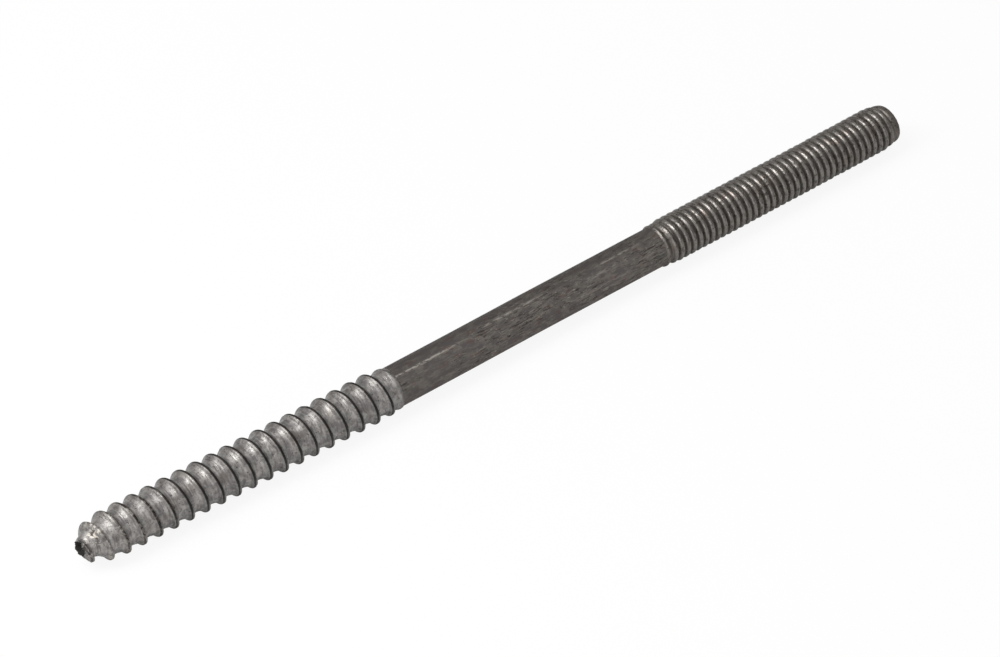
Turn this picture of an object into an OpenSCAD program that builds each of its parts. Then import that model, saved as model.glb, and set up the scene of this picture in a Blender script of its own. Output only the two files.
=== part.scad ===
// Hanger bolt: wood-screw thread with a blunt tip, plain shank, machine-screw thread.
// Rolled in one piece from plain steel rod. It lies along X with the tip at the -X end.

/* [Lengths] */
// Wood-screw end, from the blunt tip to the plain shank
wood_len = 72.6; // [50:0.1:80]
// Plain shank between the two threads
shank_len = 66.1; // [20:0.1:100]
// Machine-screw end, from the plain shank to the end face
machine_len = 61.6; // [30:0.1:65]

/* [Shank] */
// Diameter of the plain shank, which is the rod before rolling
shank_d = 8.33; // [8.2:0.01:8.6]
// Length of the slope from the wood thread's root up to the shank
shoulder_len = 0.8; // [0.4:0.1:2]

/* [Wood thread] */
// Diameter over the crests
wood_d = 9.78; // [9.2:0.01:10.5]
// Height of a ridge above the root
wood_depth = 0.96; // [0.7:0.01:1.3]
// Distance from one ridge to the next
wood_pitch = 3.629; // [3.2:0.001:4.2]
// Width of a ridge at its foot
wood_foot_w = 1.75; // [1.4:0.05:2.4]
// Width of a ridge at the edge of its rounded crest
wood_crest_w = 0.8; // [0.5:0.05:1.1]
// Height of the crest's rounding
wood_crest_h = 0.16; // [0.05:0.01:0.3]
// Length over which the last turns sink into the shank
wood_fade_len = 5.6; // [3:0.1:9]
// Flats around each turn
wood_sides = 24; // [20:4:24]

/* [Tip] */
// Diameter of the blunt end
tip_d = 3.4; // [2.8:0.1:4.2]
// Length of the core's cone behind the blunt end
tip_cone_len = 5.6; // [4:0.1:9]
// Diameter over the thread where it breaks off at the blunt end
tip_fin_d = 5.5; // [4.8:0.1:6.5]
// Length over which the thread reaches its full diameter
tip_fin_len = 4.6; // [3:0.1:8]
// Diameter of the hollow left in the blunt end
hollow_d = 2.3; // [1.2:0.1:2.5]
// Depth of the hollow
hollow_depth = 1.2; // [0.5:0.1:2]
// Turn of the wood thread about its axis, in degrees
wood_turn = 345; // [0:15:345]

/* [Machine thread] */
// Diameter over the crests
machine_d = 9.49; // [9.2:0.01:10]
// Depth of the groove
machine_depth = 0.97; // [0.7:0.01:1.1]
// Distance from one crest to the next
machine_pitch = 1.5875; // [1.4:0.0005:2]
// Width of a crest
machine_crest_w = 0.3; // [0.15:0.01:0.45]
// Diameter of the step up from the shank
step_d = 8.92; // [8.7:0.01:9.1]
// Length of the slope of that step
step_len = 0.6; // [0.3:0.1:1.5]
// Length over which the grooves deepen and the crests rise behind the step
run_in_len = 3; // [1.6:0.1:6]
// Length of the taper at the end face
taper_len = 4; // [2:0.1:6]
// Diameter over the crests where the taper meets the end face
end_d = 8.2; // [7.9:0.1:8.6]
// Length of the plain band before the end face
end_band_len = 1.2; // [0.5:0.1:2]
// Flats around each turn
machine_sides = 24; // [20:4:24]

/* [Hidden] */
steel_grey = [0.42, 0.40, 0.39];
round_fn = 96;
total_len = wood_len + shank_len + machine_len;
machine_start = wood_len + shank_len;
wood_r = wood_d / 2;
wood_root_r = wood_r - wood_depth;
shank_r = shank_d / 2;
machine_r = machine_d / 2;
machine_root_r = machine_r - machine_depth;
step_r = step_d / 2;
end_r = end_d / 2;
tip_r = tip_d / 2;
tip_fin_r = tip_fin_d / 2;
// Thinnest core, for the helix that runs on past the tip before it is cut off
thin_r = 0.3;
// How far one solid reaches into the next one, so that they join
bury = 1.5;
// How far the slope to the shank starts below the wood thread's root
tuck = 0.08;
// Turns that a helix starts before the end that is cut square
lead_turns = 1.1;
// Place of a ridge's middle within its pitch
middle = 0.5;
// A bound that holds the whole section
bound_r = max(wood_d, machine_d);
// Height of the axis above the ground: a flat of the wood thread or a corner of the other
rest_z = max(wood_r * cos(180 / wood_sides), machine_r);

// Ridge of the wood thread over one pitch: [share of the pitch, share of the height]
wood_form = [
    [middle - wood_foot_w / wood_pitch / 2, 0],
    [middle - wood_crest_w / wood_pitch / 2, 1 - wood_crest_h],
    [middle, 1],
    [middle + wood_crest_w / wood_pitch / 2, 1 - wood_crest_h],
    [middle + wood_foot_w / wood_pitch / 2, 0]
];

// Ridge of the machine thread over one pitch: a flat crest between two flanks
machine_form = [
    [0, 0],
    [middle - machine_crest_w / machine_pitch / 2, 1],
    [middle + machine_crest_w / machine_pitch / 2, 1]
];

// Straight run from y0 at x0 to y1 at x1, level beyond both
function ramp(x, x0, x1, y0, y1) = y0 + (y1 - y0) * min(1, max(0, (x - x0) / (x1 - x0)));

// Core of the wood thread at a distance from the blunt end
function wood_root(s) = s > 0
    ? ramp(s, 0, tip_cone_len, tip_r, wood_root_r)
    : max(thin_r, tip_r + s * (wood_root_r - tip_r) / tip_cone_len);

// Crest of the wood thread: rises from the tip, then sinks into the shank
function wood_crest(s) = s < wood_len / 2
    ? max(wood_root(s), ramp(s, -tip_fin_len, tip_fin_len, 2 * tip_fin_r - wood_r, wood_r))
    : ramp(s, wood_len - wood_fade_len, wood_len + bury, wood_r, wood_root_r);

// Envelope of the machine end: the step up from the shank, the crests, the tapered end
function machine_crest(s) = s < machine_start + step_len
    ? ramp(s, machine_start - bury, machine_start + step_len, shank_r - bury * slope_in(), step_r)
    : min(
        ramp(s, machine_start + step_len, machine_start + step_len + run_in_len, step_r, machine_r),
        ramp(s, total_len - taper_len, total_len, machine_r, end_r));

// Slope of the step, so that it leaves the shank's surface where the machine end starts
function slope_in() = (step_r - shank_r) / step_len;

// Groove of the machine thread: runs in behind the step and out at the plain end band
function machine_root(s) = min(machine_crest(s), max(
    ramp(s, machine_start + step_len, machine_start + step_len + run_in_len, step_r, machine_root_r),
    ramp(s, total_len - end_band_len - machine_pitch, total_len - end_band_len, machine_root_r, end_r)));

// Rod with a helical ridge, closed by a fan at each end. Right-handed about +Z.
module threaded_rod(from, turns, pitch, sides, turn, form, root, crest) {
    k_n = len(form);
    steps = turns * sides;
    rows = [
        for (i = [0 : steps])
        for (k = [0 : k_n - 1])
        rod_point(i, form[k], from, pitch, sides, turn, root, crest)
    ];
    tail = [
        for (i = [steps + 1 : steps + sides])
        rod_point(i, form[0], from, pitch, sides, turn, root, crest)
    ];
    low = len(rows) + len(tail);
    high = low + 1;
    hubs = [[0, 0, from + pitch * middle], [0, 0, from + pitch * (turns + middle)]];
    skin = [
        for (i = [0 : steps - 1])
        for (k = [0 : k_n - 1])
        let (a = at(i, k, k_n, steps, sides), b = at(i + 1, k, k_n, steps, sides))
        let (c = at(i + 1, k + 1, k_n, steps, sides), d = at(i, k + 1, k_n, steps, sides))
        each [[a, d, c], [a, c, b]]
    ];
    ends = [
        for (i = [0 : sides - 1])
        each [
            [at(i, 0, k_n, steps, sides), at(i + 1, 0, k_n, steps, sides), low],
            [at(steps + i + 1, 0, k_n, steps, sides), at(steps + i, 0, k_n, steps, sides), high]
        ]
    ];
    stairs = [
        for (k = [0 : k_n - 1])
        each [
            [at(0, k + 1, k_n, steps, sides), at(0, k, k_n, steps, sides), low],
            [at(steps, k, k_n, steps, sides), at(steps, k + 1, k_n, steps, sides), high]
        ]
    ];
    polyhedron(concat(rows, tail, hubs), concat(skin, ends, stairs), convexity = 10);
}

// Point of the rod: step i along the helix and one point of the ridge's form
function rod_point(i, form_point, from, pitch, sides, turn, root, crest) =
    let (s = from + pitch * (i / sides + form_point[0]))
    let (r = root(s) + form_point[1] * (crest(s) - root(s)))
    let (a = turn + 360 * i / sides)
    [r * cos(a), r * sin(a), s];

// Number of the point at step i and place k; the end of a form is the start of the next turn
function at(i, k, k_n, steps, sides) =
    k == k_n ? at(i + sides, 0, k_n, steps, sides)
    : i > steps ? (steps + 1) * k_n + i - steps - 1
    : i * k_n + k;

// Turn in whole flats, half a flat aside, so that a flat faces the ground
function on_flat(angle, sides) = (round(angle * sides / 360) + 1 / 2) * 360 / sides;

// Turn in whole flats, so that a corner between two flats faces the ground
function on_corner(angle, sides) = round(angle * sides / 360) * 360 / sides;

module wood_end() {
    intersection() {
        threaded_rod(
            -lead_turns * wood_pitch,
            ceil((wood_len + bury) / wood_pitch + lead_turns),
            wood_pitch,
            wood_sides,
            on_flat(wood_turn, wood_sides),
            wood_form,
            function (s) wood_root(s),
            function (s) wood_crest(s));
        cylinder(h = total_len, r = bound_r, $fn = round_fn);
    }
}

module shank() {
    translate([0, 0, wood_len])
        cylinder(h = shank_len, r = shank_r, $fn = round_fn);
    translate([0, 0, wood_len - shoulder_len])
        cylinder(h = shoulder_len, r1 = wood_root_r - tuck, r2 = shank_r, $fn = round_fn);
}

module machine_end() {
    intersection() {
        threaded_rod(
            machine_start - bury - machine_pitch,
            ceil((machine_len + bury) / machine_pitch + 1 + lead_turns),
            machine_pitch,
            machine_sides,
            on_corner(0, machine_sides),
            machine_form,
            function (s) machine_root(s),
            function (s) machine_crest(s));
        cylinder(h = total_len, r = bound_r, $fn = round_fn);
    }
}

module hollow() {
    translate([0, 0, -hollow_depth])
        cylinder(h = 2 * hollow_depth, r1 = hollow_d, r2 = 0, $fn = round_fn);
}

module hanger_bolt() {
    color(steel_grey)
        translate([-total_len / 2, 0, rest_z])
        rotate([0, 90, 0])
        difference() {
            union() {
                wood_end();
                shank();
                machine_end();
            }
            hollow();
        }
}

hanger_bolt();
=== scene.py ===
import math

import bmesh
import bpy
from mathutils import Matrix, Vector, noise


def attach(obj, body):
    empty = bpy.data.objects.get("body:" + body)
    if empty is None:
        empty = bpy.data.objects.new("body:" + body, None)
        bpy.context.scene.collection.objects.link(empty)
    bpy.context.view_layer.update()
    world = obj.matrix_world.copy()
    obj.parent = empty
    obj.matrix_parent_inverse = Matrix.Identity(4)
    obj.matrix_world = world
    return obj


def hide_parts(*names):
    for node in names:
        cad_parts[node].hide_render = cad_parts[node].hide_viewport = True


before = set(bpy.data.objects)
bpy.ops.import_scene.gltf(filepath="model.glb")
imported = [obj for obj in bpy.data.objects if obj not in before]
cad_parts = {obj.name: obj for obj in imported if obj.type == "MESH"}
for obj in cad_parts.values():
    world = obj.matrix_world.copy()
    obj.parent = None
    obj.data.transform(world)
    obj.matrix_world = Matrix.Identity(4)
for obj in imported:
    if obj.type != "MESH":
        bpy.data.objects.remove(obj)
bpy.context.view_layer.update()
mm = 0.001
# the photo's up, as shares of y and z around the bolt
photoUp = (0.583, 0.813)


def hexColor(text):
    parts = [int(text[i:i + 2], 16) / 255 for i in (1, 3, 5)]
    linear = [c / 12.92 if c <= 0.04045 else ((c + 0.055) / 1.055) ** 2.4 for c in parts]
    return (*linear, 1.0)


# one node with its settings, its plain values and its links
def addNode(tree, kind, settings=None, values=None, links=None):
    made = tree.nodes.new(kind)
    for key, value in (settings or {}).items():
        setattr(made, key, value)
    for key, value in (values or {}).items():
        made.inputs[key].default_value = value
    for key, source in (links or {}).items():
        tree.links.new(source, made.inputs[key])
    return made


# straight run between two places, level beyond both
def ramp(x, x0, x1, y0, y1):
    share = min(1.0, max(0.0, (x - x0) / (x1 - x0)))
    return y0 + (y1 - y0) * share


# the same run with soft ends
def soft(x, x0, x1, y0, y1):
    share = min(1.0, max(0.0, (x - x0) / (x1 - x0)))
    return y0 + (y1 - y0) * share * share * (3 - 2 * share)


# value at a place, from a list of (place, value)
def along(table, x):
    for (x0, y0), (x1, y1) in zip(table, table[1:]):
        if x <= x1:
            return ramp(x, x0, x1, y0, y1)
    return table[-1][1]


# smooth noise with lumps of a size in mm
def lumps(x, y, z, kind):
    size = kind["size"]
    return noise.noise(Vector((x / size + kind["shift"], y / size, z / size)))


# height of such lumps
def waves(x, y, z, kind):
    return kind["most"] * lumps(x, y, z, kind)


# depth of sharp bites, where the lumps pass a level
def bites(x, y, z, kind):
    return kind["most"] * (max(0.0, lumps(x, y, z, kind) - kind["above"]) * kind["gain"])


# how far a point lies from the axis towards the photo's lower side
def lowness(y, z):
    return -(photoUp[0] * y + photoUp[1] * z)


# camera first: a long lens that looks down on the bolt from the tip's side (degrees and mm)
view = {
    "azimuth": -38.3, "elevation": 42.4, "distance": 1060.84, "right": -0.39, "up": -0.13,
    "lens": 195.17, "sensor": 36,
}
lengths = {"wood": 72.6, "shank": 66.1, "machine": 61.6}
wholeLength = sum(lengths.values())
machineStart = lengths["wood"] + lengths["shank"]
axisHeight = 4.8482


def makeCamera():
    a, e = math.radians(view["azimuth"]), math.radians(view["elevation"])
    right = Vector((math.cos(a), math.sin(a), 0))
    back = Vector((math.sin(a) * math.cos(e), -math.cos(a) * math.cos(e), math.sin(e)))
    up = back.cross(right)
    place = Vector((0, 0, axisHeight)) + right * view["right"] + up * view["up"] + back * view["distance"]
    bpy.ops.object.camera_add()
    camera = bpy.context.object
    camera.name = "photoCamera"
    turn = Matrix((right, up, back)).transposed().to_4x4()
    camera.matrix_world = Matrix.Translation(place * mm) @ turn
    camera.data.lens = view["lens"]
    camera.data.sensor_width = view["sensor"]
    camera.data.clip_start = 0.05
    camera.data.clip_end = 20
    bpy.context.scene.camera = camera


makeCamera()
print("camera placed")


# a new mesh of one point at the origin, open for editing
def startMesh(name):
    bpy.ops.object.select_all(action="DESELECT")
    bpy.ops.mesh.primitive_plane_add(size=mm, location=(0, 0, 0))
    made = bpy.context.object
    made.name = name
    made.data.name = name
    bpy.ops.object.mode_set(mode="EDIT")
    bpy.ops.mesh.select_all(action="SELECT")
    bpy.ops.mesh.merge(type="CENTER")
    return made


# draws the ridge of one pitch, point by point, and winds it along the axis
def windThread(name, outline, sizes, firstPlace):
    made = startMesh(name)
    here = Vector((0, 0, 0))
    for number, (place, radius) in enumerate(outline):
        there = Vector((firstPlace + place * sizes["pitch"], 0, radius)) * mm
        if number == 0:
            bpy.ops.transform.translate(value=there)
        else:
            bpy.ops.mesh.extrude_region_move(TRANSFORM_OT_translate={"value": there - here})
        here = there
    bpy.ops.object.mode_set(mode="OBJECT")
    wind = made.modifiers.new("turns", "SCREW")
    wind.axis = "X"
    wind.angle = 2 * math.pi
    wind.screw_offset = sizes["pitch"] * mm
    wind.iterations = sizes["turns"]
    wind.steps = sizes["steps"]
    wind.render_steps = sizes["steps"]
    bpy.ops.object.modifier_apply(modifier=wind.name)
    bpy.ops.object.mode_set(mode="EDIT")
    bpy.ops.mesh.select_all(action="SELECT")
    bpy.ops.mesh.remove_doubles(threshold=0.001 * mm)
    bpy.ops.object.mode_set(mode="OBJECT")
    return made


# moves each point by a rule on its place along the axis, its height on the ridge and its share of the pitch,
# and keeps what the finish needs: height on the ridge, the crest's dark scale with painted shade behind it,
# painted shade on the flank, scuffs
def shapeRound(made, sizes, firstPlace, rule):
    names = ("crest", "crestScaleShadeAndFlaking", "flankShade", "scuff")
    for name in names:
        made.data.attributes.new(name, "FLOAT", "POINT")
    marks = [made.data.attributes[name].data for name in names]
    span = sizes["crestR"] - sizes["rootR"]
    for point in made.data.vertices:
        x, y, z = point.co / mm
        radius = math.hypot(y, z)
        share = (radius - sizes["rootR"]) / span
        across = ((x - firstPlace) / sizes["pitch"] - math.atan2(-y, z) / (2 * math.pi)) % 1.0
        newPlace, newRadius, values = rule(x, y, z, share, across)
        scale = newRadius / radius
        point.co = (newPlace * mm, y * scale * mm, z * scale * mm)
        for mark, value in zip(marks, values):
            mark[point.index].value = value


# cuts a thread square at a place and keeps one side, open
def cutAt(made, place, keepAbove):
    bpy.ops.object.select_all(action="DESELECT")
    made.select_set(True)
    bpy.context.view_layer.objects.active = made
    bpy.ops.object.mode_set(mode="EDIT")
    bpy.ops.mesh.select_all(action="SELECT")
    bpy.ops.mesh.bisect(plane_co=(place * mm, 0, 0), plane_no=(1, 0, 0), use_fill=False,
                        clear_inner=keepAbove, clear_outer=not keepAbove)
    bpy.ops.object.mode_set(mode="OBJECT")


# selects the open edges from one place to another, with a little to spare
def openEdges(made, low, high, spare=0.1):
    bpy.ops.mesh.select_all(action="DESELECT")
    bpy.ops.mesh.select_mode(type="EDGE")
    work = bmesh.from_edit_mesh(made.data)
    for edge in work.edges:
        place = sum(point.co.x for point in edge.verts) / 2 / mm
        edge.select_set(edge.is_boundary and low - spare < place < high + spare)
    bmesh.update_edit_mesh(made.data)


# wood-screw end: sizes in mm, places along the axis from the blunt tip
woodEnd = {
    "pitch": 3.6286, "crestR": 4.89, "rootR": 3.93, "turns": 23, "steps": 96, "firstPlace": -5.730,
    # one pitch of the ridge: (share of a foot or of half the crest, share of the height)
    "crestW": 0.50, "nearFoot": 1.95, "farFoot": 0.95,
    "rootBefore": (-0.08, -0.05), "rootAfter": (0.80, 0.92),
    "foot": [(1.0, 0.0), (0.82, 0.06), (0.65, 0.14), (0.50, 0.23), (0.41, 0.34), (0.32, 0.53), (0.23, 0.75)],
    "top": [(-1.3, 0.855), (-1.0, 0.92), (-0.65, 0.97), (-0.4, 0.99), (0.0, 1.0), (0.45, 0.98), (0.8, 0.91)],
    # radius of the core and of the crest, and how dark the crest is, by place
    "core": [(-6, 0.9), (0, 1.65), (0.7, 2.1), (1.95, 2.55), (2.8, 2.8), (3.4, 3.06),
             (5.8, 3.86), (6.6, 3.93), (69.8, 3.93), (71.2, 4.08), (72.3, 4.22), (90, 4.24)],
    "crest": [(-6, 0.9), (0, 2.7), (1.1, 3.28), (2.9, 4.28), (4.7, 4.55), (6.4, 4.85), (7.5, 4.89),
              (68.2, 4.89), (69.8, 4.76), (70.8, 4.60), (72.0, 4.42), (72.5, 4.28), (90, 4.24)],
    "dark": [(0, 0.8), (2.2, 0.7), (3.2, 0.25), (6, 0.5), (9, 1.0), (70.5, 1.0), (72, 0.4), (90, 0.4)],
    "shoulder": (0.05, 0.12),
    "ripple": {"most": 0.035, "size": 7.0, "shift": 3.1},
    "grain": {"most": 0.012, "size": 1.1, "shift": 9.4},
    "wander": {"most": 0.05, "size": 5.0, "shift": 14.0},
    "nicks": {"most": 0.11, "size": 1.6, "shift": 21.7, "above": 0.38, "gain": 2.4},
    # below, the crest is a little wider behind its dark scale and painted shade, and the last turn ends in a
    # lip
    "under": (0.0, 0.7),
    "lip": {"most": 0.2, "rise": (71.2, 72.2), "fall": (72.5, 72.7)},
    "widen": {"most": 0.26, "across": (0.48, 0.52), "height": (0, 0.5)},
    # where the crest's dark scale with painted shade behind it and the painted shade on the near flank lie,
    # in shares of the pitch
    "crestScaleAndShade": {"rise": (0.410, 0.432), "fall": (0.56, 0.61), "less": (0.075, 0.095)},
    "flankShade": {"rise": (0.24, 0.33), "fall": (0.41, 0.45), "start": (2, 6)},
    # a torn spot near the tip (mm, degrees, radians), and light scuffs on the first crests
    "torn": {"place": 2.7, "turn": -157, "long": 1.5, "wide": 0.6},
    "rubbed": {"most": 0.35, "fall": (5, 22)},
}


# one pitch of the ridge: a level root, a long hollow foot on the tip's side, a short one behind
def woodOutline():
    low, high = woodEnd["rootR"], woodEnd["crestR"]
    pitch = woodEnd["pitch"]
    near, far = woodEnd["nearFoot"] / pitch, woodEnd["farFoot"] / pitch
    crest = woodEnd["crestW"] / 2 / pitch
    points = [(place, 0.0) for place in woodEnd["rootBefore"]]
    points += [(0.5 - near * reach, share) for reach, share in woodEnd["foot"]]
    points += [(0.5 + crest * reach, share) for reach, share in woodEnd["top"]]
    points += [(0.5 + far * reach, share) for reach, share in reversed(woodEnd["foot"])]
    points += [(place, 0.0) for place in woodEnd["rootAfter"]]
    return [(place, low + (high - low) * share) for place, share in points]


def woodRule(x, y, z, share, across):
    end = woodEnd
    core = along(end["core"], x)
    crest = max(core, along(end["crest"], x))
    crest += waves(x, y, z, end["ripple"]) * share
    crest -= bites(x, y, z, end["nicks"]) * share * share
    radius = core + share * (crest - core) + waves(x, y, z, end["grain"])
    before, after = end["shoulder"]
    radius = ramp(x, lengths["wood"] - before, lengths["wood"] + after, radius, shank["radius"])

    under = soft(lowness(y, z) / math.hypot(y, z), *end["under"], 0, 1)
    lip, widen = end["lip"], end["widen"]
    radius += lip["most"] * under * soft(x, *lip["rise"], 0, 1) * ramp(x, *lip["fall"], 1, 0)
    place = x + waves(x, y, z, end["wander"]) * share
    place += (widen["most"] * under * soft(across, *widen["across"], 0, 1)
              * soft(share, *widen["height"], 0, 1))

    crestScaleAndShade, dull = end["crestScaleAndShade"], end["flankShade"]
    # dark scale on the crest, with painted shade on the far shoulder behind it, narrower on the lower side
    crestScaleShadeAndFlaking = soft(across, *crestScaleAndShade["rise"], 0, 1) * along(end["dark"], x)
    crestScaleAndShadeEnd = [fall - less * under for fall, less in zip(crestScaleAndShade["fall"], crestScaleAndShade["less"])]
    crestScaleShadeAndFlaking *= soft(across, *crestScaleAndShadeEnd, 1, 0)
    # painted shade on the near flank (the dull band), from a few mm past the tip on
    flankShade = soft(across, *dull["rise"], 0, 1) * soft(across, *dull["fall"], 1, 0)
    flankShade *= ramp(x, *dull["start"], 0, 1)

    torn, rubbed = end["torn"], end["rubbed"]
    turn = math.atan2(y, -z) - math.radians(torn["turn"])
    turn = (turn + math.pi) % (2 * math.pi) - math.pi
    scuff = math.exp(-((x - torn["place"]) / torn["long"]) ** 2 - (turn / torn["wide"]) ** 2)
    scuff = max(scuff, rubbed["most"] * ramp(x, *rubbed["fall"], 1, 0) * share)
    return place, radius, (share, crestScaleShadeAndFlaking, flankShade, scuff)


# plain shank: rings along it, how far it reaches into the threads, and the gap that is bridged
shank = {"radius": 4.165, "cuts": 40, "joint": 0.8, "gap": 0.6}

# machine-screw end: sizes in mm, places from the start of the thread
machineEnd = {
    "pitch": 1.5875, "crestR": 4.745, "rootR": 3.80, "firstBefore": 3.7, "turns": 43, "steps": 72,
    # half a pitch of the ridge: (share of the pitch, share of the height)
    "side": [(0.0, 0.0), (0.05, 0.05), (0.10, 0.21), (0.16, 0.47), (0.21, 0.67),
             (0.27, 0.80), (0.34, 0.89), (0.42, 0.96), (0.47, 0.993)],
    "stepLength": 0.36,
    "crest": [(0.36, 4.48), (0.58, 4.47), (0.84, 4.24), (1.5, 4.42), (2.4, 4.62),
              (3.4, 4.76), (70, 4.76)],
    "groove": [(0.36, 4.47), (0.62, 4.46), (0.90, 4.12), (1.4, 4.04), (2.4, 3.96),
               (3.2, 3.91), (70, 3.91)],
    # the first ring is thin, and the last turns run out into a plain band with a round edge
    "thin": {"most": 2.4, "fall": (1.6, 2.8)},
    "taper": 4.0, "endR": 4.15, "band": 1.2, "bandGroove": 0.02, "grooveOut": 1.6, "edge": 0.9, "edgeR": 3.68,
    "ripple": {"most": 0.05, "size": 4.0, "shift": 5.5},
    "nicks": {"most": 0.18, "size": 1.2, "shift": 40.3, "above": 0.42, "gain": 2.4},
}


def machineOutline():
    low, high = machineEnd["rootR"], machineEnd["crestR"]
    side = machineEnd["side"]
    mirrored = [(1 - place, share) for place, share in reversed(side)]
    return [(place, low + (high - low) * share) for place, share in side + [(0.5, 1.0)] + mirrored]


def machineRule(x, y, z, share, across):
    end = machineEnd
    here = x - machineStart
    left = wholeLength - x
    crest = along(end["crest"], here)
    crest = min(crest, soft(left, 0, end["taper"], end["endR"], end["crestR"]))
    root = along(end["groove"], here)
    bandRoot = end["endR"] - end["bandGroove"]
    root = max(root, soft(left, end["band"], end["band"] + end["grooveOut"], bandRoot, end["rootR"]))
    root = min(root, crest)
    crest += waves(x, y, z, end["ripple"]) * share - bites(x, y, z, end["nicks"]) * share * share
    thin = ramp(here, *end["thin"]["fall"], end["thin"]["most"], 1)
    radius = root + max(0.0, share) ** thin * (crest - root)
    radius = ramp(here, 0, end["stepLength"], shank["radius"], radius)
    bend = 1 - min(1.0, max(0.0, left / end["edge"]))
    radius -= max(0.0, radius - end["edgeR"]) * (1 - math.sqrt(1 - bend * bend))
    height = max(0.0, (radius - end["rootR"]) / (end["crestR"] - end["rootR"]))
    return x, radius, (height, 0.0, 0.0, 0.0)


# blunt tip: rings of the torn hollow (inward, shrink), and the teeth of its rim (fineness, layer, share)
tip = {
    "rings": ((-0.10, 0.90), (0.04, 0.86), (0.30, 0.90), (0.45, 0.86), (0.45, 0.72), (0.25, 0.45)),
    "hollowR": 1.6, "hollowEnd": 2.4,
    "rough": 0.30, "start": 0.2, "reach": 1.7, "inner": (0.9, 1.5, 0.4, 1.0),
    "teeth": ((1.1, 7.3, 1.0), (2.6, 1.9, 0.5)), "toothLong": 1.3, "sway": 0.7, "swayFine": 1.3,
}
# the end face is a little dished by the rolling
endFace = {"rings": ((0.0, 0.9), (-0.06, 0.6), (-0.05, 0.4))}


def makeBolt():
    first = woodEnd["firstPlace"]
    wood = windThread("woodThread", woodOutline(), woodEnd, first)
    shapeRound(wood, woodEnd, first, woodRule)
    cutAt(wood, 0, True)
    cutAt(wood, lengths["wood"] + shank["joint"], False)
    print("wood thread wound")

    first = machineStart - machineEnd["firstBefore"]
    machine = windThread("machineThread", machineOutline(), machineEnd, first)
    shapeRound(machine, machineEnd, first, machineRule)
    cutAt(machine, machineStart - shank["joint"], True)
    cutAt(machine, wholeLength, False)
    print("machine thread wound")

    bpy.ops.object.select_all(action="DESELECT")
    machine.select_set(True)
    wood.select_set(True)
    bpy.context.view_layer.objects.active = wood
    bpy.ops.object.join()
    bolt = wood
    bolt.name = "boltBody"
    bolt.data.name = "boltBody"
    bpy.ops.object.mode_set(mode="EDIT")

    # the plain shank grows out of the wood thread and is closed onto the machine thread
    lowCut, highCut = lengths["wood"] + shank["joint"], machineStart - shank["joint"]
    span = (highCut - shank["gap"] - lowCut) / shank["cuts"]
    openEdges(bolt, lowCut, lowCut)
    for step in range(shank["cuts"]):
        bpy.ops.mesh.extrude_edges_move(TRANSFORM_OT_translate={"value": (span * mm, 0, 0)})
    openEdges(bolt, highCut - shank["gap"], highCut)
    bpy.ops.mesh.bridge_edge_loops()
    print("shank closed")

    # the hollow of the tip and the end face
    for place, rings in ((0, tip["rings"]), (wholeLength, endFace["rings"])):
        openEdges(bolt, place, place)
        for inward, shrink in rings:
            bpy.ops.mesh.extrude_edges_move(TRANSFORM_OT_translate={"value": (inward * mm, 0, 0)})
            bpy.ops.transform.resize(value=(1, shrink, shrink), center_override=(0, 0, 0))
        bpy.ops.mesh.merge(type="CENTER")

    bpy.ops.mesh.select_all(action="SELECT")
    bpy.ops.mesh.normals_make_consistent(inside=False)
    bpy.ops.object.mode_set(mode="OBJECT")
    return bolt


bolt = makeBolt()


# the rim of the tip is ragged where the rod was torn off
def tearTip():
    for point in bolt.data.vertices:
        x, y, z = point.co / mm
        if x > tip["reach"]:
            continue
        fade = soft(x, tip["start"], tip["reach"], 1, 0) * tip["rough"]
        inner = ramp(math.hypot(y, z), *tip["inner"])
        tooth = sum(share * noise.noise(Vector((y * fine, z * fine, layer)))
                    for fine, layer, share in tip["teeth"])
        spot = Vector((x, y, z)) * tip["swayFine"]
        sway = [noise.noise(spot + Vector(shift)) * tip["sway"] for shift in ((5, 0, 0), (0, 8, 0))]
        push = Vector((-tooth * tip["toothLong"], *sway))
        point.co += push * fade * inner * mm


tearTip()
print("tip torn")

# marks on the shank, in mm along it and degrees around it
shankMarks = {
    # long light scrapes: (from, to, turn, width, strength), and how long their ends are
    "scrapes": [(71, 92, -160, 0.2, 1.0), (94, 113, -169, 0.22, 0.65), (112, 134, -112, 0.3, 0.4),
                (78, 92, -95, 0.2, 0.3), (118, 131, -146, 0.3, 0.45), (122, 138, -169, 0.2, 0.5),
                (121, 134, -99, 0.2, 0.55)],
    "fadeIn": 2, "fadeOut": 9,
    # painted shade over the upper side, fading down the side that faces the camera
    "shadeRise": (60, 110), "shadeFall": (160, 255),
    # where the scale has flaked most: (place, share)
    "flaked": [(72, 0.1), (82, 0.2), (94, 1.0), (119, 1.0), (130, 0.2), (139, 0.0)],
    "start": 0.1,
}


# the shank keeps its scrapes as scuffs, painted shade on its upper side as flank shade, and its flaked part
# in the mark that holds the wood's crest scale and shade
def scrapeShank():
    scuff, flankShade, crestScaleShadeAndFlaking = [bolt.data.attributes[name].data for name in ("scuff", "flankShade", "crestScaleShadeAndFlaking")]
    marks = shankMarks
    for point in bolt.data.vertices:
        x, y, z = point.co / mm
        if not lengths["wood"] + marks["start"] < x < machineStart:
            continue
        turn, value = math.degrees(math.atan2(y, -z)), 0.0
        for low, high, middle, width, strength in marks["scrapes"]:
            off = ((turn - middle + 180) % 360 - 180) * math.pi / 180 * shank["radius"]
            fade = soft(x, low, low + marks["fadeIn"], 0, 1) * soft(x, high - marks["fadeOut"], high, 1, 0)
            value = max(value, strength * fade * math.exp(-(off / width) ** 2))
        scuff[point.index].value = value
        crestScaleShadeAndFlaking[point.index].value = along(marks["flaked"], x)
        turn %= 360
        # painted shade over the upper side, by the turn around the axis
        flankShade[point.index].value = soft(turn, *marks["shadeRise"], 0, 1) * soft(turn, *marks["shadeFall"], 1, 0)


scrapeShank()

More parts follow.
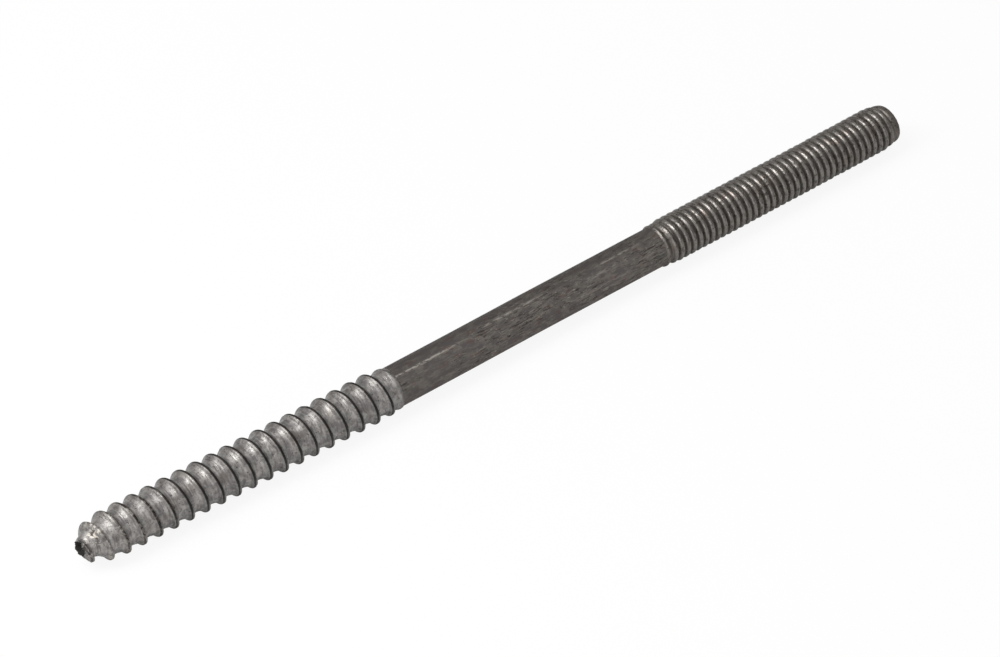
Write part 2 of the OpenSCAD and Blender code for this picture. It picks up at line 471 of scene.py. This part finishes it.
# the rod was sheared off a little out of square at its machine end: lean, and how far back it fades
sheared = {"lean": 0.055, "shift": 0.12, "fade": 3.5}
for point in bolt.data.vertices:
    near = soft(wholeLength - point.co.x / mm, 0, sheared["fade"], 1, 0)
    lower = lowness(point.co.y, point.co.z) / mm
    point.co.x += near * (sheared["shift"] + sheared["lean"] * lower) * mm

# the rod has a slight bow, (place, sideways) in mm, and lies on the floor with its middle over the origin
bow = [(0, 0.77), (30, 0.37), (38, 0.20), (46, 0.05), (69, -0.25), (74, -0.29), (90, -0.24), (107, -0.11),
       (140, -0.10), (180, -0.06), (200.3, 0.03)]
for point in bolt.data.vertices:
    point.co.y += along(bow, point.co.x / mm) * mm
    point.co.x -= wholeLength / 2 * mm
    point.co.z += axisHeight * mm
bpy.ops.object.shade_smooth_by_angle(angle=math.radians(50))
print("bolt laid down:", len(bolt.data.polygons), "faces")


def newMaterial(name):
    made = bpy.data.materials.new(name)
    made.use_nodes = True
    made.node_tree.nodes.clear()
    return made, made.node_tree


# one layer of stain: patches of a real size in mm, along and around the bolt, laid over the colour
def stain(tree, spot, color, layer, where=None):
    scale = (1 / (layer["along"] * mm), 1 / (layer["around"] * mm), 1 / (layer["around"] * mm))
    place = addNode(tree, "ShaderNodeMapping", None,
                    {"Scale": scale, "Location": (layer.get("shift", 0.0),) * 3},
                    {"Vector": spot.outputs["Object"]})
    cloud = addNode(tree, "ShaderNodeTexNoise", None,
                    {"Scale": 1.0, "Detail": layer.get("detail", 3.0), "Roughness": layer.get("grain", 0.6),
                     "Distortion": layer.get("swirl", 0.0)}, {"Vector": place.outputs[0]})
    share = addNode(tree, "ShaderNodeMapRange", {"interpolation_type": "SMOOTHSTEP"},
                    {"From Min": layer["low"], "From Max": layer["high"], "To Max": layer.get("most", 1.0)},
                    {"Value": cloud.outputs[0]})
    if where:
        share = addNode(tree, "ShaderNodeMath", {"operation": "MULTIPLY"}, None,
                        {0: share.outputs[0], 1: where})
    values, links = {7: hexColor(layer["shade"])}, {0: share.outputs[0]}
    if isinstance(color, str):
        values[6] = hexColor(color)
    else:
        links[6] = color
    laid = addNode(tree, "ShaderNodeMix", {"data_type": "RGBA"}, values, links)
    return laid.outputs[2], cloud.outputs[0]


# a plain shade over the colour, where a mark of the mesh says so
def shadeOver(tree, color, mark, over):
    amount = addNode(tree, "ShaderNodeMath", {"operation": "MULTIPLY"}, {1: over["most"]},
                     {0: mark.outputs["Fac"]})
    laid = addNode(tree, "ShaderNodeMix", {"data_type": "RGBA"}, {7: hexColor(over["shade"])},
                   {0: amount.outputs[0], 6: color})
    return laid.outputs[2]


# height of a surface: one layer over another, less its pits
def reliefOf(tree, finish, over, under, pits):
    added = addNode(tree, "ShaderNodeMath", {"operation": "MULTIPLY_ADD"}, {1: finish["overShare"]},
                    {0: over, 2: under})
    sunk = addNode(tree, "ShaderNodeMath", {"operation": "MULTIPLY_ADD"}, {1: -finish["pitShare"]},
                   {0: pits, 2: added.outputs[0]})
    return sunk.outputs[0]


# the end of every finish: relief in mm, shader and output
def closeFinish(tree, finish, color, height, rough=None):
    bump = addNode(tree, "ShaderNodeBump", None,
                   {"Strength": finish["relief"], "Distance": finish["depth"] * mm}, {"Height": height})
    links = {"Base Color": color, "Normal": bump.outputs[0]}
    if rough:
        links["Roughness"] = rough
    shader = addNode(tree, "ShaderNodeBsdfPrincipled", None, finish["surface"], links)
    addNode(tree, "ShaderNodeOutputMaterial", None, None, {"Surface": shader.outputs["BSDF"]})


# wood thread: steel squeezed between dies, so it is burnished and mottled, with dark scale on each crest,
# painted shade just behind each crest and painted shade on the near flanks
woodFinish = {
    "base": "#747170",
    "clouds": {"along": 1.5, "around": 1.5, "low": 0.40, "high": 0.64, "shade": "#9c9996", "detail": 5.0,
               "grain": 0.65, "swirl": 0.4},
    "smears": {"along": 0.45, "around": 2.6, "low": 0.50, "high": 0.72, "shade": "#4f4c4a", "most": 0.6,
               "detail": 4.0},
    "dieLines": {"along": 0.38, "around": 4.0, "low": 0.50, "high": 0.66, "shade": "#a5a29e", "most": 0.4},
    "tint": {"along": 5.0, "around": 4.0, "low": 0.55, "high": 0.75, "shade": "#74675b", "most": 0.35,
             "detail": 2.0},
    # painted shade on the near flanks
    "flankShade": {"shade": "#45423f", "most": 0.2},
    # the crest's dark scale, with painted shade behind each crest
    "crestScaleShadeAndFlaking": {"shade": "#1c1917", "most": 0.95},
    "pits": {"along": 0.5, "around": 0.5, "low": 0.62, "high": 0.70, "shade": "#34302d", "most": 0.75,
             "detail": 2.0},
    "torn": {"along": 0.9, "around": 0.9, "low": 0.50, "high": 0.57, "shade": "#d2ccc3", "swirl": 0.8},
    "burnt": {"along": 1.0, "around": 1.0, "low": 0.54, "high": 0.62, "shade": "#4a3a32", "most": 0.8,
              "shift": 4.0},
    "rough": {"From Min": 0.3, "From Max": 0.7, "To Min": 0.41, "To Max": 0.58}, "scuffRough": 0.25,
    "overShare": 0.6, "pitShare": 0.5, "relief": 1.0, "depth": 0.12, "surface": {"Metallic": 0.85},
}


def burnishedSteel():
    made, tree = newMaterial("rolledBurnishedSteel")
    spot = addNode(tree, "ShaderNodeTexCoord")
    crestScaleShadeAndFlaking, flankShade, scuff = [addNode(tree, "ShaderNodeAttribute", {"attribute_name": name})
                          for name in ("crestScaleShadeAndFlaking", "flankShade", "scuff")]
    color, clouds = stain(tree, spot, woodFinish["base"], woodFinish["clouds"])
    color, smears = stain(tree, spot, color, woodFinish["smears"])
    color, lines = stain(tree, spot, color, woodFinish["dieLines"])
    color = stain(tree, spot, color, woodFinish["tint"])[0]
    # painted shade on the near flanks
    color = shadeOver(tree, color, flankShade, woodFinish["flankShade"])
    # the crest's dark scale, with painted shade behind each crest
    color = shadeOver(tree, color, crestScaleShadeAndFlaking, woodFinish["crestScaleShadeAndFlaking"])
    color, pits = stain(tree, spot, color, woodFinish["pits"])
    for name in ("torn", "burnt"):
        color = stain(tree, spot, color, woodFinish[name], scuff.outputs["Fac"])[0]
    rough = addNode(tree, "ShaderNodeMapRange", None, woodFinish["rough"], {"Value": smears})
    dull = addNode(tree, "ShaderNodeMath", {"operation": "MULTIPLY_ADD", "use_clamp": True},
                   {1: woodFinish["scuffRough"]}, {0: scuff.outputs["Fac"], 2: rough.outputs[0]})
    relief = reliefOf(tree, woodFinish, clouds, lines, pits)
    closeFinish(tree, woodFinish, color, relief, dull.outputs[0])
    return made


# plain shank: rod with its hot-rolling scale, dark brown-grey and dull, in fine streaks along the axis
shankFinish = {
    "base": "#555150",
    "flaked": {"along": 13.0, "around": 5.0, "low": 0.42, "high": 0.60, "shade": "#5d5955", "most": 0.5,
               "detail": 2.0, "shift": 7.0},
    # the coarse grain shows where the scale has flaked, and little elsewhere
    "partShare": 0.14, "bare": {"From Min": 0.53, "From Max": 0.67, "To Min": 0.2},
    "patches": {"along": 2.6, "around": 1.1, "low": 0.44, "high": 0.64, "shade": "#68635e", "swirl": 0.5},
    "rusty": {"along": 2.4, "around": 1.0, "low": 0.54, "high": 0.70, "shade": "#5f463d", "most": 0.5,
              "shift": 3.0},
    "green": {"along": 2.4, "around": 1.2, "low": 0.56, "high": 0.72, "shade": "#4d5047", "most": 0.4,
              "shift": 9.0},
    "crumbs": {"along": 0.9, "around": 0.35, "low": 0.57, "high": 0.66, "shade": "#989187", "most": 0.9,
               "grain": 0.75, "detail": 6.0},
    "light": {"along": 3.5, "around": 0.34, "low": 0.59, "high": 0.68, "shade": "#8b857c", "most": 0.65,
              "shift": 2.0, "detail": 5.0},
    "dark": {"along": 2.0, "around": 0.32, "low": 0.54, "high": 0.66, "shade": "#2a2522", "most": 0.85,
             "shift": 6.0},
    "pits": {"along": 0.8, "around": 0.32, "low": 0.58, "high": 0.66, "shade": "#272320", "most": 0.7,
             "shift": 1.0, "detail": 5.0},
    # painted shade over the shank's upper side
    "side": {"shade": "#24201e", "most": 0.55},
    "scrape": {"along": 1.3, "around": 0.3, "low": 0.40, "high": 0.56, "shade": "#a8a299", "most": 0.75,
               "shift": 5.0},
    "rough": {"From Min": 0.3, "From Max": 0.7, "To Min": 0.74, "To Max": 0.60},
    "overShare": 0.7, "pitShare": 0.5, "relief": 0.4, "depth": 0.05,
    "surface": {"Metallic": 0.2, "Specular IOR Level": 0.15},
}


def scaledRod():
    made, tree = newMaterial("hotRolledScale")
    spot = addNode(tree, "ShaderNodeTexCoord")
    scuff, side, part = [addNode(tree, "ShaderNodeAttribute", {"attribute_name": name})
                         for name in ("scuff", "flankShade", "crestScaleShadeAndFlaking")]
    color, flaked = stain(tree, spot, shankFinish["base"], shankFinish["flaked"])
    reach = addNode(tree, "ShaderNodeMath", {"operation": "MULTIPLY_ADD"}, {1: shankFinish["partShare"]},
                    {0: part.outputs["Fac"], 2: flaked})
    bare = addNode(tree, "ShaderNodeMapRange", None, shankFinish["bare"],
                   {"Value": reach.outputs[0]}).outputs[0]
    for name in ("patches", "rusty", "green"):
        color = stain(tree, spot, color, shankFinish[name])[0]
    color, crumbs = stain(tree, spot, color, shankFinish["crumbs"], bare)
    color, streaks = stain(tree, spot, color, shankFinish["light"], bare)
    color = stain(tree, spot, color, shankFinish["dark"], bare)[0]
    color, pits = stain(tree, spot, color, shankFinish["pits"], bare)
    # painted shade over the upper side
    color = shadeOver(tree, color, side, shankFinish["side"])
    color = stain(tree, spot, color, shankFinish["scrape"], scuff.outputs["Fac"])[0]
    rough = addNode(tree, "ShaderNodeMapRange", None, shankFinish["rough"], {"Value": streaks})
    relief = reliefOf(tree, shankFinish, crumbs, streaks, pits)
    closeFinish(tree, shankFinish, color, relief, rough.outputs[0])
    return made


# machine thread: rolled crests rubbed bright over grooves that are still dark with scale and oil
threadFinish = {
    "groove": "#68635e", "crest": "#7b7773", "worn": {"From Min": 0.35, "From Max": 1.0},
    "tint": {"along": 4.0, "around": 4.0, "low": 0.52, "high": 0.70, "shade": "#655146", "most": 0.35},
    "dull": {"along": 1.4, "around": 1.4, "low": 0.50, "high": 0.68, "shade": "#4b4743", "most": 0.55,
             "shift": 3.0},
    "specks": {"along": 0.6, "around": 0.6, "low": 0.54, "high": 0.64, "shade": "#2f2b28", "most": 0.75,
               "detail": 4.0},
    "rough": {"From Min": 0.2, "From Max": 1.0, "To Min": 0.54, "To Max": 0.29},
    "relief": 0.7, "depth": 0.10, "surface": {"Metallic": 0.85},
}


def threadSteel():
    made, tree = newMaterial("rolledThreadSteel")
    spot = addNode(tree, "ShaderNodeTexCoord")
    crest = addNode(tree, "ShaderNodeAttribute", {"attribute_name": "crest"})
    worn = addNode(tree, "ShaderNodeMapRange", {"interpolation_type": "SMOOTHSTEP"}, threadFinish["worn"],
                   {"Value": crest.outputs["Fac"]})
    color = addNode(tree, "ShaderNodeMix", {"data_type": "RGBA"},
                    {6: hexColor(threadFinish["groove"]), 7: hexColor(threadFinish["crest"])},
                    {0: worn.outputs[0]}).outputs[2]
    for name in ("tint", "dull"):
        color = stain(tree, spot, color, threadFinish[name])[0]
    color, specks = stain(tree, spot, color, threadFinish["specks"])
    rough = addNode(tree, "ShaderNodeMapRange", None, threadFinish["rough"], {"Value": crest.outputs["Fac"]})
    closeFinish(tree, threadFinish, color, specks, rough.outputs[0])
    return made


# inside of the tip: torn steel, rough and almost black
tornFinish = {
    "base": "#171412",
    "grain": {"along": 0.4, "around": 0.4, "low": 0.48, "high": 0.74, "shade": "#332b26", "detail": 4.0,
              "grain": 0.7},
    "relief": 0.5, "depth": 0.12, "surface": {"Metallic": 0.2, "Roughness": 0.8},
}


def tornSteel():
    made, tree = newMaterial("tornSteel")
    spot = addNode(tree, "ShaderNodeTexCoord")
    color, grain = stain(tree, spot, tornFinish["base"], tornFinish["grain"])
    closeFinish(tree, tornFinish, color, grain)
    return made


# material numbers: 0 wood thread, 1 shank, 2 machine thread, 3 hollow of the tip
for made in (burnishedSteel(), scaledRod(), threadSteel(), tornSteel()):
    bolt.data.materials.append(made)
# how far a finish runs on past the end of its part, in mm
finishPast = {"wood": 0.08, "shank": 0.05}


# each face takes the finish of its place on the bolt
def giveFinishes():
    woodStop, shankStop = lengths["wood"] + finishPast["wood"], machineStart + finishPast["shank"]
    for face in bolt.data.polygons:
        place = face.center.x / mm + wholeLength / 2
        sideways = face.center.y / mm - along(bow, place)
        radius = math.hypot(sideways, face.center.z / mm - axisHeight)
        number = 0 if place < woodStop else 1 if place < shankStop else 2
        if radius < tip["hollowR"] and place < tip["hollowEnd"]:
            number = 3
        face.material_index = number


giveFinishes()
print("finishes given")

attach(bolt, "root")
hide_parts("hanger_bolt")

# white floor that keeps the shadow: it glows for the camera and a little in reflections
floorLook = {"size": 6, "drop": 0.08, "paper": "#d6d6d6", "seenGlow": 0.9, "mirroredGlow": 0.15}
bpy.ops.object.select_all(action="DESELECT")
bpy.ops.mesh.primitive_plane_add(size=floorLook["size"], location=(0, 0, -floorLook["drop"] * mm))
floor = bpy.context.object
floor.name = "floor"
paper, tree = newMaterial("whitePaper")
path = addNode(tree, "ShaderNodeLightPath")
mirrored = addNode(tree, "ShaderNodeMath", {"operation": "MAXIMUM"}, None,
                   {0: path.outputs["Is Glossy Ray"], 1: path.outputs["Is Transmission Ray"]})
direct = addNode(tree, "ShaderNodeMath", {"operation": "MULTIPLY"}, {1: floorLook["seenGlow"]},
                 {0: path.outputs["Is Camera Ray"]})
share = addNode(tree, "ShaderNodeMath", {"operation": "MULTIPLY_ADD"}, {1: floorLook["mirroredGlow"]},
                {0: mirrored.outputs[0], 2: direct.outputs[0]})
matt = addNode(tree, "ShaderNodeBsdfDiffuse", None, {"Color": hexColor(floorLook["paper"])})
glow = addNode(tree, "ShaderNodeEmission", None, {"Strength": 1.0})
mixed = addNode(tree, "ShaderNodeMixShader", None, None,
                {0: share.outputs[0], 1: matt.outputs[0], 2: glow.outputs[0]})
addNode(tree, "ShaderNodeOutputMaterial", None, None, {"Surface": mixed.outputs[0]})
floor.data.materials.append(paper)

# soft studio light: a strip box overhead towards the tip, a weak card in front, a sky that dims outwards
boxes = {
    "overheadStrip": {"place": (-0.43, 0.12, 0.60), "length": 0.6, "width": 0.26, "slant": -0.5,
                      "power": 5.8},
    "frontCard": {"place": (-0.48, -0.62, 0.2), "length": 0.35, "width": 0.35, "slant": 0.0, "power": 1.1},
}
sky = {"horizon": 0.3, "zenith": 0.95}


def addLight():
    for name, box in boxes.items():
        bpy.ops.object.light_add(type="AREA", location=box["place"])
        made = bpy.context.object
        made.name = name
        made.data.shape = "RECTANGLE"
        made.data.size = box["length"]
        made.data.size_y = box["width"]
        made.data.energy = box["power"]
        back = Vector(box["place"]).normalized()
        side = Vector((1, box["slant"], 0))
        side = (side - back * back.dot(side)).normalized()
        made.rotation_euler = Matrix((side, back.cross(side), back)).transposed().to_euler()
    world = bpy.data.worlds.new("studio")
    bpy.context.scene.world = world
    world.use_nodes = True
    tree = world.node_tree
    tree.nodes.clear()
    way = addNode(tree, "ShaderNodeTexCoord")
    parts = addNode(tree, "ShaderNodeSeparateXYZ", None, None, {0: way.outputs["Generated"]})
    height = addNode(tree, "ShaderNodeMath", {"operation": "MULTIPLY"}, None,
                     {0: parts.outputs["Z"], 1: parts.outputs["Z"]})
    level = addNode(tree, "ShaderNodeMapRange", None, {"To Min": sky["horizon"], "To Max": sky["zenith"]},
                    {"Value": height.outputs[0]})
    glow = addNode(tree, "ShaderNodeBackground", None, {"Color": (1, 1, 1, 1)},
                   {"Strength": level.outputs[0]})
    addNode(tree, "ShaderNodeOutputWorld", None, None, {"Surface": glow.outputs[0]})


addLight()
bpy.context.scene.view_settings.view_transform = "Standard"
print("lit")
